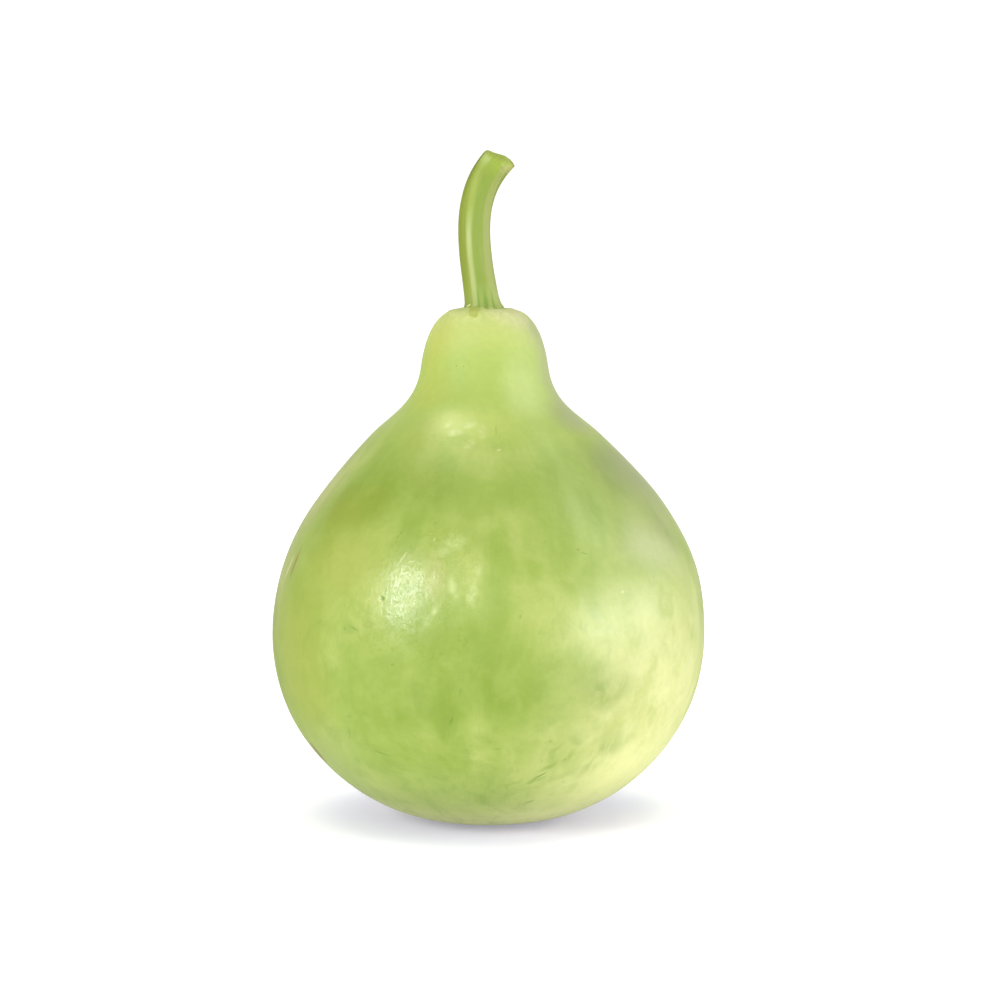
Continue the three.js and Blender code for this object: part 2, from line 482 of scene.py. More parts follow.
def smudged(points):
    """The strength of each smudge in its middle, 0 outside them all."""
    moved = warped(points, size=5 * MM, reach=2 * MM, seed=60.7)
    total = np.zeros(points.shape[:-1])
    for azimuth, height, half_length, half_width, slope, share in SMUDGES:
        point, long_side, short_side, outward = stroke_axes(azimuth, height, slope)
        axes = np.stack([long_side / half_length, short_side / half_width, outward / half_length])
        away = (moved - point) @ axes.T / MM
        total = np.maximum(total, share * smooth_step(*SOFT_EDGE, np.linalg.norm(away, axis=-1)))
    return total


def make_fruit_mesh():
    outline = fruit_outline()
    turn = np.linspace(0, 2 * math.pi, FRUIT_SEGMENTS, endpoint=False)
    radius, height, angle = np.broadcast_arrays(outline[:, :1], outline[:, 1:], turn)
    points = fruit_surface(radius, height, angle)
    folds, root, edge, groove = crown_relief(points, height)
    relief = fruit_relief(points, height, angle) + folds
    points = points + grid_normals(points) * relief[..., None]
    attributes = {
        "root": root,
        "fold_edge": edge,
        "foot_groove": groove,
        "lightness": lightness(points),
        "smudge": smudged(points),
    }
    return closed_mesh("gourd", points, attributes)


# -------- the stalk's shape

# The root, two handles and the end of the curve that the stalk follows.
STALK_PATH = np.array([(-1.9, 0, 176), (-3, 0, 196), (-11.7, 0.6, 220), (7.5, -3.6, 235.7)]) * MM
STALK_RADIUS = 5.9 * MM
RIB_COUNT = 5
RIB_DEPTH = 0.65 * MM
# The front rib is sharp and the one to its right is low, both within RIB_REACH degrees of their middles.
FRONT_RIB_ANGLE = math.radians(-112)
FRONT_RIB_SHARPNESS = 0.42
RIGHT_RIB_AT = 72
RIGHT_RIB_LOSS = 0.3
RIB_REACH = 30
TWIST = math.radians(-28)
TWIST_SPAN = (0.6, 1.05)
# Where the stalk leaves the crown it is wider: by a spread that fades upwards over its reach.
FOOT_HEIGHT = 179.8 * MM
FOOT_SPREAD = 1.1 * MM
FOOT_REACH = 1.4 * MM
FOOT_TO_RIGHT = 1.5 * MM
FOOT_TO_RIGHT_REACH = 8 * MM
FOOT_TO_LEFT = 0.5 * MM
FLUTE_DEPTH = 0.4 * MM
FLUTE_REACH = 4.2 * MM
ROOT_TAPER = 0.25
# The knife's cut leans to the right and a little to the front.
CUT_CENTRE = np.array([4.2, -3, 232.7]) * MM
CUT_TO_RIGHT = math.radians(32)
CUT_TO_FRONT = math.radians(5)
CUT_SEARCH = np.linspace(0.6, 1, 400)

# The rings lie closer together past END_SHARE of the way to the cut, where the rim is rounded.
STALK_SEGMENTS = 200
STALK_RINGS = 230
END_RINGS = 60
END_SHARE = 0.94
CUT_RINGS = 24
INNERMOST_CUT_RING = 0.03
FIBRE_DEPTH = 0.07 * MM
FIBRE_SIZE = 0.45
FIBRE_SEED = 5.1
FIBRES_AROUND = 6
FIBRES_ALONG = 3
CUT_DOME = 0.9 * MM
DOME_TO_RIGHT = 0.9
# The rim of the cut is rounded most at the front, less at the left, and least elsewhere.
RIM_ROUNDING = (0.5 * MM, 2.4 * MM)
LEFT_ROUNDING = 0.55
CUT_EDGE = (1.1, 0.3)
TIP_REACH = (7 * MM, 1 * MM)


def bezier_slope(path, t):
    """The way a cubic curve runs at each t."""
    t = t[..., None]
    legs = np.diff(path, axis=0)
    return unit((1 - t) ** 2 * legs[0] + 2 * t * (1 - t) * legs[1] + t * t * legs[2])


def rib_crest(angle, share):
    """1 on a rib's crest, 0 in the middle of the hollow between two ribs. They twist near the cut."""
    spun = angle - FRONT_RIB_ANGLE - TWIST * smooth_step(*TWIST_SPAN, share)
    from_front = degrees_apart(np.degrees(spun), 0)
    narrowness = 1 - FRONT_RIB_SHARPNESS * bell(0, RIB_REACH, from_front)
    crest = 1 - np.abs(np.sin(RIB_COUNT * spun / 2)) ** (2 * narrowness)
    return crest * (1 - RIGHT_RIB_LOSS * bell(RIGHT_RIB_AT, RIB_REACH, from_front))


def stalk_surface(share, angle, inset=0):
    """Points of the ribbed stalk, share being the part of its path from the root.

    inset moves them towards the path.
    """
    centre = bezier(STALK_PATH, share)
    tangent = bezier_slope(STALK_PATH, share)
    right = unit(np.cross(np.array([0, 1, 0]), tangent))
    back = np.cross(tangent, right)
    rise = centre[..., 2] - FOOT_HEIGHT
    above = np.maximum(rise, 0)
    radius = STALK_RADIUS + FOOT_SPREAD * np.exp(-above / FOOT_REACH)
    radius = radius + ROOT_TAPER * np.minimum(rise, 0)
    to_right = FOOT_TO_RIGHT * np.exp(-above / FOOT_TO_RIGHT_REACH)
    to_left = FOOT_TO_LEFT * np.exp(-above / FOOT_REACH)
    radius = radius + to_right * np.maximum(np.cos(angle), 0) + to_left * np.maximum(-np.cos(angle), 0)
    section = radius * (1 - RIB_DEPTH / STALK_RADIUS * (1 - rib_crest(angle, share)))
    section = section - FLUTE_DEPTH * np.exp(-above / FLUTE_REACH) * flutes(np.degrees(angle)) - inset
    return (
        centre
        + right * (section * np.cos(angle))[..., None]
        + back * (section * np.sin(angle))[..., None]
    )


def cut_normal():
    turn = Matrix.Rotation(CUT_TO_RIGHT, 3, "Y") @ Matrix.Rotation(CUT_TO_FRONT, 3, "X")
    return np.array(turn @ Vector((0, 0, 1)))


def cut_shares(angle):
    """For each line along the stalk, the share of the path at which the knife crossed it."""
    shares = CUT_SEARCH[:, None] + 0 * angle
    beyond = (stalk_surface(shares, angle + 0 * shares) - CUT_CENTRE) @ cut_normal() > 0
    return shares[np.argmax(beyond, axis=0), np.arange(angle.shape[1])][None, :]


def make_stalk_mesh():
    angle = np.linspace(0, 2 * math.pi, STALK_SEGMENTS, endpoint=False)[None, :]
    low_steps = np.linspace(0, END_SHARE, STALK_RINGS, endpoint=False)
    steps = np.concatenate([low_steps, np.linspace(END_SHARE, 1, END_RINGS)])[:, None]
    ends = cut_shares(angle)
    shares = steps * ends
    angles = angle + 0 * shares
    to_cut = np.linalg.norm(bezier(STALK_PATH, shares) - bezier(STALK_PATH, ends), axis=-1)
    at_front = smooth_step(0, 0.8, -np.sin(angles))
    at_left = LEFT_ROUNDING * smooth_step(0.3, 1, -np.cos(angles))
    least, most = RIM_ROUNDING
    rounding = least + (most - least) * np.maximum(at_front, at_left)
    inset = rounding - np.sqrt(rounding**2 - np.maximum(rounding - to_cut, 0) ** 2)
    side = stalk_surface(shares, angles, inset)
    lengthwise = around_axis(FIBRES_AROUND, angles, FIBRES_ALONG * shares)
    fibres = perlin(lengthwise, FIBRE_SIZE, FIBRE_SEED)
    side = side + grid_normals(side) * (FIBRE_DEPTH * (fibres - 1))[..., None]

    inward = np.linspace(1, INNERMOST_CUT_RING, CUT_RINGS)[:, None, None]
    rim = side[-1:]
    middle = rim.mean(axis=1, keepdims=True)
    face = middle + (rim - middle) * inward
    dome = CUT_DOME * (1 - inward**2) * (1 + DOME_TO_RIGHT * inward * np.cos(angle)[..., None])
    face = face + cut_normal() * dome
    points = np.concatenate([side, face[1:]])

    cut_rows = np.ones((CUT_RINGS - 1, STALK_SEGMENTS))
    attributes = {
        "rib": np.concatenate([rib_crest(angles, shares), cut_rows * rib_crest(angle, ends)]),
        "flute": np.concatenate([flutes(np.degrees(angles)), 0 * cut_rows]),
        "turn": np.concatenate([angles, cut_rows * angle]) / (2 * math.pi),
        "along": np.concatenate([shares, cut_rows * shares[-1:]]),
        "cut": np.concatenate([smooth_step(*CUT_EDGE, to_cut / rounding), cut_rows]),
        "tip": np.concatenate([smooth_step(*TIP_REACH, to_cut), cut_rows]),
        "core": np.concatenate([0 * shares + 1, cut_rows * inward[1:, :, 0]]),
    }
    return closed_mesh("stalk", points, attributes)


# -------- helpers for materials

LIGHT_INSIDE = 0.08
LIGHT_INSIDE_COLOUR = (1.0, 1.0, 0.4)


class Nodes:
    """A material's or world's nodes, with one short call for each kind that is used here."""

    def __init__(self, owner):
        self.owner = owner
        owner.use_nodes = True
        self.tree = owner.node_tree
        self.tree.nodes.clear()

    def add(self, kind, inputs=None, **settings):
        node = self.tree.nodes.new(kind)
        for key, value in settings.items():
            setattr(node, key, value)
        for key, value in (inputs or {}).items():
            self.feed(node.inputs[key], value)
        return node

    def feed(self, socket, value):
        if isinstance(value, bpy.types.NodeSocket):
            self.tree.links.new(value, socket)
        else:
            socket.default_value = value

    def place(self):
        """Where the surface is, in metres from the origin."""
        return self.add("ShaderNodeTexCoord").outputs["Object"]

    def point(self, **parts):
        return self.add("ShaderNodeCombineXYZ", parts).outputs[0]

    def parts(self, vector):
        return self.add("ShaderNodeSeparateXYZ", {0: vector}).outputs

    def attribute(self, name):
        return self.add("ShaderNodeAttribute", attribute_name=name).outputs["Fac"]

    def math(self, operation, a, b=0.0):
        return self.add("ShaderNodeMath", {0: a, 1: b}, operation=operation).outputs[0]

    def total(self, *terms):
        return functools.reduce(lambda a, b: self.math("ADD", a, b), terms)

    def product(self, *factors):
        return functools.reduce(lambda a, b: self.math("MULTIPLY", a, b), factors)

    def vector(self, operation, a, b=(0, 0, 0)):
        node = self.add("ShaderNodeVectorMath", {0: a}, operation=operation)
        if operation == "SCALE":
            self.feed(node.inputs["Scale"], b)
        elif operation not in ("LENGTH", "NORMALIZE"):
            self.feed(node.inputs[1], b)
        return node.outputs["Value"] if operation in ("LENGTH", "DISTANCE") else node.outputs["Vector"]

    def noise_node(self, vector, size, detail, roughness=0.5):
        inputs = {"Vector": vector, "Scale": 1 / size, "Detail": detail, "Roughness": roughness}
        return self.add("ShaderNodeTexNoise", inputs)

    def noise(self, vector, **pattern):
        """Noise about 0.5, with lumps about size across, in the units of vector."""
        return self.noise_node(vector, **pattern).outputs[0]

    def drift(self, vector, reach, **pattern):
        """A vector that wanders smoothly from place to place, by up to half of reach each way."""
        wander = self.noise_node(vector, **pattern).outputs["Color"]
        return self.vector("SCALE", self.vector("SUBTRACT", wander, (0.5, 0.5, 0.5)), reach)

    def fade(self, value, start, end, low=0.0, high=1.0, kind="SMOOTHSTEP"):
        """low where value is at or before start, high at or past end, and a change between them."""
        inputs = {"Value": value, "From Min": start, "From Max": end, "To Min": low, "To Max": high}
        return self.add("ShaderNodeMapRange", inputs, interpolation_type=kind).outputs[0]

    def mix(self, factor, a, b):
        node = self.add("ShaderNodeMix", data_type="RGBA")
        self.feed(node.inputs["Factor"], factor)
        self.feed(node.inputs[6], a)
        self.feed(node.inputs[7], b)
        return node.outputs[2]

    def tint(self, skin, tint, *shares):
        """The skin mixed with a tint, as much of it as the product of the shares."""
        return self.mix(self.product(*shares), skin, tint)

    def finish(self, shader, output="ShaderNodeOutputMaterial"):
        self.add(output, {"Surface": shader.outputs[0]})
        return self.owner


def skin_material(nodes, skin, roughness, ior, relief, relief_depth, relief_strength, light_depth):
    """A finished plant skin, which light enters a little way."""
    bump_inputs = {"Height": relief, "Distance": relief_depth, "Strength": relief_strength}
    bump = nodes.add("ShaderNodeBump", bump_inputs)
    inputs = {
        "Base Color": skin,
        "Roughness": roughness,
        "IOR": ior,
        "Subsurface Weight": LIGHT_INSIDE,
        "Subsurface Radius": LIGHT_INSIDE_COLOUR,
        "Subsurface Scale": light_depth,
        "Normal": bump.outputs[0],
    }
    return nodes.finish(nodes.add("ShaderNodeBsdfPrincipled", inputs))


def colour(code):
    """A linear colour from its usual hexadecimal code."""
    parts = [int(code[i : i + 2], 16) / 255 for i in (1, 3, 5)]
    return tuple(p / 12.92 if p <= 0.04045 else ((p + 0.055) / 1.055) ** 2.4 for p in parts) + (1.0,)


# -------- the fruit's skin

DEEP_GREEN = colour("#86a035")
LEAF_GREEN = colour("#97ae4b")
YELLOW_GREEN = colour("#b1c067")
SMUDGE_GREEN = colour("#7f9c3c")
OLIVE_GREEN = colour("#909e33")
WARM_GREEN = colour("#a3ad48")
NECK_GREEN = colour("#aac05a")
CROWN_YELLOW = colour("#c6d078")
BASE_GREEN = colour("#b1bf72")
PALE_BASE = colour("#e9eba4")
RIND_GREY = colour("#adb479")
BELLY_HIGHLIGHT_PALE = colour("#c2c897")
SHOULDER_SHADE_GREY = colour("#949e6e")
RIM_REFLECTION_BEIGE = colour("#c0b678")
LOW_GREY = colour("#adbc74")
SUN_BEIGE = colour("#c6c27a")
NECK_HIGHLIGHT_PALE = colour("#cfdc98")
PALE_YELLOW = colour("#cad083")
PALE_SPOT = colour("#dbde9b")
FLECK_GREEN = colour("#6a9030")
SCAR_CREAM = colour("#e9e6b4")
SCUFF_BROWN = colour("#8d7a2e")
NECK_OLIVE = colour("#b4b850")
NECK_GREY = colour("#a5ad7a")
CROWN_REFLECTION_BEIGE = colour("#d3cf9c")
NECK_CREAM_AND_HIGHLIGHT = colour("#c3cf70")
ROOT_OLIVE = colour("#a4ae3c")
FOLD_PALE = colour("#ccd68a")
FOLD_EDGE = colour("#b2ba60")
GROOVE_GREEN = colour("#7d9f3a")
GLINT_PALE = colour("#cfdc94")

# Small marks: azimuth in degrees to the right of the front, height, half length and half width in mm,
# and the slope of the long side in degrees from level.
PITS_AND_SCRATCHES = (
    (-28.6, 85.3, 0.9, 0.55, -40),
    (16.4, 24.6, 2.6, 0.3, 38),
    (16, 13.8, 1.6, 0.4, 40),
)
DARK_FLECKS = (
    (-32, 31.8, 3.4, 0.4, -12),
    (-26.5, 106.5, 0.7, 0.4, 50),
    (-27.4, 105.2, 0.9, 0.3, 60),
    (-23.6, 98.6, 2, 0.22, 62),
    (-21.6, 101.4, 0.8, 0.22, 55),
    (-39.1, 74.2, 0.7, 0.45, 80),
    (-36, 74.6, 2.2, 0.5, -20),
    (16.1, 103.9, 0.8, 0.3, 55),
    (25.6, 101, 0.6, 0.45, 0),
    (27.4, 99.7, 1.8, 0.3, -15),
    (8, 80.1, 0.9, 0.4, 75),
    (-6.8, 55, 1.4, 0.4, 85),
    (-24.3, 63.5, 0.6, 0.5, 0),
    (-41.4, 38.2, 2.2, 0.5, 80),
    (2.4, 35.1, 1.3, 0.35, 0),
    (17.3, 37.4, 0.6, 0.5, 0),
    (22.8, 30, 0.9, 0.4, 45),
    (25.5, 21.3, 0.6, 0.5, 0),
    (-25.6, 160.6, 0.5, 0.3, 40),
    (-18.7, 160.3, 0.4, 0.3, -30),
    (5.8, 139.4, 2.6, 0.2, 82),
    (-58, 16, 1.2, 0.4, -20),
    (-9.5, 45, 1.8, 0.5, 70),
    (112, 84, 1.6, 0.4, 60),
    (150, 58, 2.4, 0.4, 20),
    (-148, 92, 1.2, 0.5, 75),
    (-112, 47, 2.6, 0.4, -35),
    (175, 118, 1, 0.5, 40),
)
PALE_SCARS = (
    (-29.4, 84.7, 1, 0.7, -30),
    (-24.4, 98.6, 2.6, 0.35, 62),
    (-15.9, 104.8, 0.7, 0.35, 60),
    (37.5, 86.5, 0.8, 0.5, 0),
    (5.6, 133, 0.7, 0.4, 20),
    (-73.4, 91.5, 4.5, 1, 80),
    (135, 72, 2, 0.7, 30),
    (-165, 66, 1.6, 0.7, -40),
)
BROWN_SCUFFS = (
    (-71, 26, 4.6, 3.4, -88),
    (-69.2, 93, 5.4, 1.1, 84),
    (-88, 88, 3, 1.2, 80),
    (160, 36, 3.2, 1, 15),
)
# Tinted areas: azimuth, height, half width, half height, colour, and how much of it.
TINTS = (
    (-50, 113, 15, 9, OLIVE_GREEN, 0.7),
    (-85, 66, 26, 40, OLIVE_GREEN, 0.58),
    (-56, 28, 19, 15, LOW_GREY, 0.4),
    (-16, 94, 4, 7, SUN_BEIGE, 0.35),
    (-28, 125, 9, 8, OLIVE_GREEN, 0.22),
    # Painted shade: grey tints that darken the right shoulder.
    (64, 112, 24, 16, RIND_GREY, 0.3),
    (75, 124, 18, 19, SHOULDER_SHADE_GREY, 0.68),
    (100, 116, 20, 24, SHOULDER_SHADE_GREY, 0.3),
    (55, 127, 11, 12, SHOULDER_SHADE_GREY, 0.38),
    (68, 105, 8, 10, SHOULDER_SHADE_GREY, 0.5),
    # Painted highlight: a pale tint on the right of the belly, where its highlight band lies.
    (66, 94, 10, 9, BELLY_HIGHLIGHT_PALE, 0.35),
    # Painted reflection: beige on the left limb, standing in for the pale sheen along the outline there.
    (-77, 118, 12, 22, RIM_REFLECTION_BEIGE, 0.35),
    (-77, 90, 10, 14, RIM_REFLECTION_BEIGE, 0.25),
    (33, 54, 12, 9, RIND_GREY, 0.4),
    (96, 60, 16, 40, RIND_GREY, 0.6),
    (-45, 96, 20, 12, WARM_GREEN, 0.6),
    # Painted highlight: a pale tint on the right of the belly, where its highlight band lies.
    (54, 99, 13, 11, BELLY_HIGHLIGHT_PALE, 0.6),
    (38, 19, 14, 7, PALE_YELLOW, 0.3),
    (32, 7, 18, 6, PALE_BASE, 0.3),
    (-58, 60, 18, 30, WARM_GREEN, 0.6),
    (150, 60, 30, 30, OLIVE_GREEN, 0.4),
)
# The same on the neck, over the change of green towards the stalk.
NECK_TINTS = (
    (-54, 166, 10, 12, NECK_OLIVE, 0.45),
    (-46, 151, 10, 8, NECK_OLIVE, 0.4),
    (74, 160, 9, 16, NECK_GREY, 0.8),
    (62, 143, 10, 9, NECK_GREY, 0.6),
    (70, 173, 8, 8, NECK_GREY, 0.8),
    # Painted reflection: a pale beige spot on the crown's right.
    (48, 178, 8, 4, CROWN_REFLECTION_BEIGE, 0.6),
    (72, 147, 9, 10, NECK_GREY, 0.62),
    # Partly painted highlight: cream tints where the highlight at the neck's base falls, over the skin's own
    # paler tone there.
    (-18, 141, 9, 5, NECK_CREAM_AND_HIGHLIGHT, 0.5),
    (-3, 138, 4, 7, NECK_CREAM_AND_HIGHLIGHT, 0.4),
    (-30, 136, 9, 8, WARM_GREEN, 0.4),
    (6, 141, 10, 8, NECK_CREAM_AND_HIGHLIGHT, 0.45),
    (-20, 154, 10, 7, LEAF_GREEN, 0.25),
    # Painted highlight: a pale streak on the right of the neck.
    (32, 151, 8, 14, NECK_HIGHLIGHT_PALE, 0.3),
)
# Painted glints: pale streaks and patches painted on the front of the belly and at the neck's base as
# highlights.
GLINT_STREAKS = (
    (-3, 95.2, 1.8, 1.4, 80),
    (-4.4, 87.4, 4, 1.6, 80),
    (-9.4, 89.5, 4.2, 1.6, 105),
    (-11, 103, 5.5, 2.8, 30),
    (-14.6, 80, 4.6, 1.1, 60),
    (-1.6, 139, 3.4, 1.4, 84),
    (-9, 141, 3, 1.8, 30),
    (-21.2, 141, 1.8, 1.2, 75),
    (-15.8, 138.6, 2.8, 1.8, 10),
    (-7.5, 134.5, 2.8, 1.6, 70),
)


# Patterns of the skin, each from noise of one size, from the broadest to the finest.
SKIN_DRIFT = dict(size=34 * MM, detail=2, reach=18 * MM)
CLOUDS = dict(size=24 * MM, detail=3)
PALE_SIDE_DRIFT = dict(size=14 * MM, detail=4, reach=16 * MM)
STREAKS = dict(size=9 * MM, detail=3, roughness=0.55)
DAPPLES = dict(size=8 * MM, detail=4, roughness=0.6)
SMUDGE_STREAKS = dict(size=4.5 * MM, detail=3, roughness=0.6)
LUMPS = dict(size=3.2 * MM, detail=4, roughness=0.6)
DIMPLES = dict(size=3.2 * MM, detail=3)
GRAIN = dict(size=2.6 * MM, detail=4, roughness=0.6)
MARK_DRIFT = dict(size=1.6 * MM, detail=3, reach=0.7 * MM)
WRINKLES = dict(size=1.3 * MM, detail=3)
SPECKS = dict(size=1.1 * MM, detail=3, roughness=0.6)
FINE_GRAIN = dict(size=0.9 * MM, detail=2)

# Patterns drawn out along the fruit lie on a narrow ring that climbs more slowly than the fruit does.
RING_RADIUS = 60 * MM
STREAK_CLIMB = 0.3
WRINKLE_CLIMB = 0.16

# Bands of height, each from where it is absent to where it is full.
BOUNCE_LIGHT_BAND = (13 * MM, 3 * MM)
BASE_BAND = (32 * MM, 6 * MM)
PALE_BASE_BAND = (46 * MM, 18 * MM)
DULL_BAND = (75 * MM, 45 * MM)
LOW_BAND = (110 * MM, 50 * MM)
NECK_BAND = (128 * MM, 144 * MM)
DULL_NECK_BAND = (140 * MM, 155 * MM)
CROWN_BAND = (160 * MM, 178 * MM)
FOLDS_BAND = (174 * MM, 178 * MM)

# Spots: azimuth, height, and the distances in mm within which a spot is full and beyond which it is gone.
PALE_SIDE = (58, 41, 14, 66)
RUBBED_FRONT = (-18, 86, 18, 40)
FRONT_SHINE = (-20, 87, 10, 24)
NECK_SHINE = (-14, 140, 6, 16)

# How far in mm a mark reaches below and above the skin, at least, so that the relief doesn't break it.
MARK_DEPTH = 3


def marks(nodes, place, strokes):
    """1 in the middle of each stroke, 0 outside them all."""
    shaken = nodes.vector("ADD", place, nodes.drift(place, **MARK_DRIFT))
    found = []
    for azimuth, height, half_length, half_width, slope in strokes:
        point, long_side, short_side, outward = stroke_axes(azimuth, height, slope)
        inputs = {
            "Vector": shaken,
            "Location": point,
            "Rotation": Matrix((long_side, short_side, outward)).transposed().to_euler(),
            "Scale": (half_length * MM, half_width * MM, max(MARK_DEPTH, half_length) * MM),
        }
        local = nodes.add("ShaderNodeMapping", inputs, vector_type="TEXTURE")
        found.append(nodes.fade(nodes.vector("LENGTH", local.outputs[0]), *SOFT_EDGE))
    return functools.reduce(lambda a, b: nodes.math("MAXIMUM", a, b), found)


def near(nodes, place, azimuth, height, full, gone):
    """1 within full of a spot on the fruit, 0 beyond gone."""
    point = on_fruit(azimuth, height)[0]
    return nodes.fade(nodes.vector("DISTANCE", place, tuple(point)), gone * MM, full * MM)


def tinted(nodes, skin, place, tints):
    """The skin with each of the tints over it, in an upright oval with a very soft edge."""
    for azimuth, height, across, along, tint, share in tints:
        away = nodes.vector("SUBTRACT", place, tuple(on_fruit(azimuth, height)[0]))
        scaled = nodes.vector("DIVIDE", away, (across * MM, across * MM, along * MM))
        oval = nodes.fade(nodes.vector("LENGTH", scaled), *SOFT_EDGE)
        skin = nodes.tint(skin, tint, oval, share)
    return skin


def ground_colour(nodes, place, height, drift, meridian, grain, streaks):
    """The colour of the skin before its small marks."""
    drifted = nodes.vector("ADD", place, drift)
    clouds = nodes.noise(drifted, **CLOUDS)
    dapples = nodes.noise(drifted, **DAPPLES)
    smudges = nodes.noise(meridian, **SMUDGE_STREAKS)
    low_down = nodes.fade(height, *LOW_BAND, 0.1, 0.3)

    tone = nodes.total(
        nodes.fade(clouds, 0.25, 0.75, 0.28, 0.82),
        nodes.fade(streaks, 0.25, 0.75, -0.18, 0.18),
        nodes.attribute("lightness"),
    )
    skin = nodes.mix(nodes.fade(tone, -0.1, 0.55), DEEP_GREEN, LEAF_GREEN)
    skin = nodes.tint(skin, YELLOW_GREEN, nodes.fade(tone, 0.45, 1.1))
    # Lighter towards the bottom: partly the base's own paler green, partly painted bounce light from the
    # floor. The lowest band is painted light that lifts the shade where the fruit meets the floor.
    skin = nodes.tint(skin, BASE_GREEN, nodes.fade(height, *BASE_BAND, 0, 0.68))
    skin = nodes.tint(skin, PALE_YELLOW, nodes.fade(height, *BOUNCE_LIGHT_BAND, 0, 0.8))
    skin = nodes.tint(skin, SMUDGE_GREEN, nodes.fade(smudges, 0.53, 0.7), low_down)
    skin = nodes.tint(skin, SMUDGE_GREEN, nodes.fade(dapples, 0.5, 0.68), low_down)
    skin = nodes.tint(skin, YELLOW_GREEN, nodes.fade(dapples, 0.5, 0.34, 0, 0.7), low_down)
    skin = tinted(nodes, skin, drifted, TINTS)
    skin = nodes.tint(skin, NECK_GREEN, nodes.fade(height, *NECK_BAND, 0, 0.85))
    skin = nodes.tint(skin, CROWN_YELLOW, nodes.fade(height, *CROWN_BAND, 0, 0.9))
    skin = tinted(nodes, skin, drifted, NECK_TINTS)

    folds = nodes.fade(height, *FOLDS_BAND, 0, 0.5)
    skin = nodes.tint(skin, FOLD_PALE, folds, nodes.fade(grain, 0.4, 0.6))
    fold_edge = nodes.attribute("fold_edge")
    skin = nodes.tint(skin, FOLD_EDGE, fold_edge, nodes.fade(grain, 0.4, 0.6, 0, 0.3))
    skin = nodes.tint(skin, ROOT_OLIVE, nodes.attribute("root"), nodes.fade(grain, 0.3, 0.6, 0.55, 0.85))
    skin = nodes.tint(skin, GROOVE_GREEN, nodes.attribute("foot_groove"), 0.8)

    # The pale side lay on the ground while the fruit grew.
    ragged = nodes.vector("ADD", place, nodes.drift(place, **PALE_SIDE_DRIFT))
    pale_skin = nodes.mix(nodes.fade(clouds, 0.35, 0.6), PALE_YELLOW, PALE_SPOT)
    pale_skin = nodes.tint(pale_skin, YELLOW_GREEN, nodes.fade(dapples, 0.48, 0.7, 0, 0.35))
    # Partly painted bounce light: the pale side grows paler towards the bottom.
    pale_skin = nodes.tint(pale_skin, PALE_BASE, nodes.fade(height, *PALE_BASE_BAND, 0, 0.7))
    skin = nodes.tint(skin, pale_skin, near(nodes, ragged, *PALE_SIDE))

    uneven = nodes.fade(smudges, 0.35, 0.6, 0.2, 0.7)
    skin = nodes.tint(skin, SMUDGE_GREEN, nodes.attribute("smudge"), uneven)
    return nodes.vector("SCALE", skin, nodes.total(1.0, nodes.fade(grain, 0.35, 0.7, -0.025, 0.025)))


def gourd_material():
    nodes = Nodes(bpy.data.materials.new("gourd_skin"))
    place = nodes.place()
    parts = nodes.parts(place)
    height = parts["Z"]
    level = nodes.point(X=parts["X"], Y=parts["Y"])
    ring = nodes.vector("SCALE", nodes.vector("NORMALIZE", level), RING_RADIUS)
    climb = nodes.point(Z=nodes.product(height, STREAK_CLIMB))
    slow_climb = nodes.point(Z=nodes.product(height, WRINKLE_CLIMB))
    drift = nodes.drift(place, **SKIN_DRIFT)
    meridian = nodes.vector("ADD", nodes.vector("ADD", ring, climb), drift)

    grain = nodes.noise(place, **GRAIN)
    streaks = nodes.noise(meridian, **STREAKS)
    specks = nodes.noise(place, **SPECKS)
    pits = marks(nodes, place, PITS_AND_SCRATCHES)
    rubbed = near(nodes, place, *RUBBED_FRONT)
    in_shine = near(nodes, place, *FRONT_SHINE)

    dark = nodes.math("MAXIMUM", pits, marks(nodes, place, DARK_FLECKS))
    glints = marks(nodes, place, GLINT_STREAKS)
    skin = ground_colour(nodes, place, height, drift, meridian, grain, streaks)
    # Painted highlight: pale paint on the glint streaks.
    skin = nodes.tint(skin, GLINT_PALE, glints, nodes.fade(grain, 0.3, 0.65, 0.15, 0.55))
    skin = nodes.tint(skin, SCAR_CREAM, marks(nodes, place, PALE_SCARS), 0.4)
    skin = nodes.tint(skin, FLECK_GREEN, dark, nodes.fade(grain, 0.35, 0.65, 0.2, 0.6))
    skin = nodes.tint(skin, FLECK_GREEN, pits, 0.6)
    skin = nodes.tint(skin, SCUFF_BROWN, marks(nodes, place, BROWN_SCUFFS), 0.95)

    # Fine wrinkles run up the fruit, mostly where its front is rubbed. The highlights there are broken
    # by specks, and the one at the neck's base by lumps.
    wrinkles = nodes.noise(nodes.vector("ADD", ring, slow_climb), **WRINKLES)
    lumps = nodes.noise(place, **LUMPS)
    relief = nodes.total(
        nodes.product(nodes.noise(place, **FINE_GRAIN), 0.1),
        nodes.product(nodes.noise(place, **DIMPLES), 0.5),
        nodes.product(wrinkles, nodes.total(0.15, nodes.product(rubbed, 0.25))),
        nodes.product(in_shine, nodes.fade(specks, 0.5, 0.72, 0.09, 0)),
        nodes.product(near(nodes, place, *NECK_SHINE), nodes.fade(lumps, 0.3, 0.7, 0.48, 0)),
        nodes.product(pits, -0.8),
    )
    roughness = nodes.total(
        nodes.fade(grain, 0.3, 0.7, 0.34, 0.42),
        nodes.product(rubbed, nodes.fade(streaks, 0.35, 0.6, 0.5, 1), -0.12),
        nodes.product(in_shine, nodes.fade(specks, 0.52, 0.68, 0, 0.14)),
        nodes.fade(height, *DULL_NECK_BAND, 0, 0.2),
        nodes.fade(height, *DULL_BAND, 0, 0.1),
    )
    return skin_material(
        nodes,
        skin,
        roughness,
        ior=1.37,
        relief=relief,
        relief_depth=0.25 * MM,
        relief_strength=0.8,
        light_depth=3 * MM,
    )


# -------- the stalk's skin

